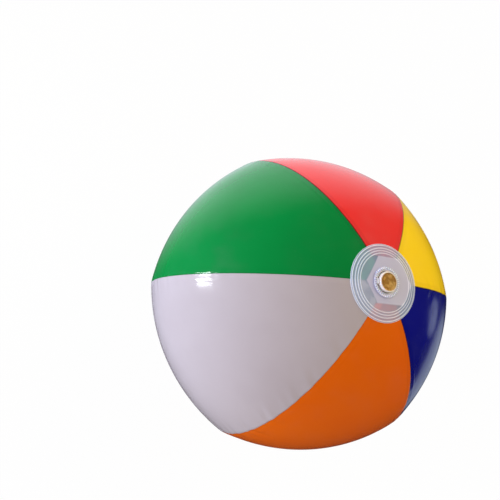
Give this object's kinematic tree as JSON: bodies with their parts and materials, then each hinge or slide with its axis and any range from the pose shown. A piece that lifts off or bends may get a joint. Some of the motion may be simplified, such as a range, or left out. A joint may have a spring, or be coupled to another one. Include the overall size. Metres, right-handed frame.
{
  "type": "inflatable beach ball",
  "caption": "Glossy inflatable ball of coloured film gores with clear end discs and a push-in inflation valve with a tethered plug.",
  "frame": {"origin": "centre of the inflated ball", "axes": "+Z along the valve's axis, out of the ball; +X runs through the seam between the green and the white panel"},
  "size_m": [0.3, 0.2918, 0.2952],
  "materials": {
    "film_white": "glossy white vinyl film",
    "film_orange": "glossy orange vinyl film",
    "film_blue": "glossy deep blue vinyl film",
    "film_yellow": "glossy yellow vinyl film",
    "film_red": "glossy red vinyl film",
    "film_green": "glossy green vinyl film",
    "film_clear": "clear, slightly milky vinyl film",
    "valve_amber": "soft translucent amber vinyl"
  },
  "bodies": {
    "ball": {"panel_white": "film_white", "panel_orange": "film_orange", "panel_blue": "film_blue", "panel_yellow": "film_yellow", "panel_red": "film_red", "panel_green": "film_green", "valve_end_disc": "film_clear", "plain_end_disc": "film_clear", "valve_flange": "valve_amber", "valve_skirt": "valve_amber"},
    "stem": {"valve_stem": "valve_amber", "flap_seat": "valve_amber"},
    "stopper": {"plug": "valve_amber", "plug_strap": "valve_amber"},
    "flap": {"check_flap": "valve_amber"}
  },
  "joints": [
    {"name": "stem_slide", "type": "slide", "parent": "ball", "child": "stem", "axis": [0, 0, 1], "range_m": [0, 0.012], "deforming": ["valve_skirt"]},
    {"name": "plug_swing", "type": "hinge", "parent": "stem", "child": "stopper", "pos_m": [0.00805, 0, 0.14767], "axis": [0, 1, 0], "range_deg": [0, 135]},
    {"name": "flap_swing", "type": "hinge", "parent": "stem", "child": "flap", "pos_m": [-0.0042, 0, 0.13242], "axis": [0, 1, 0], "range_deg": [0, 60], "stiffness_Nm_per_rad": 0.00005, "springref_deg": -17.19}
  ]
}
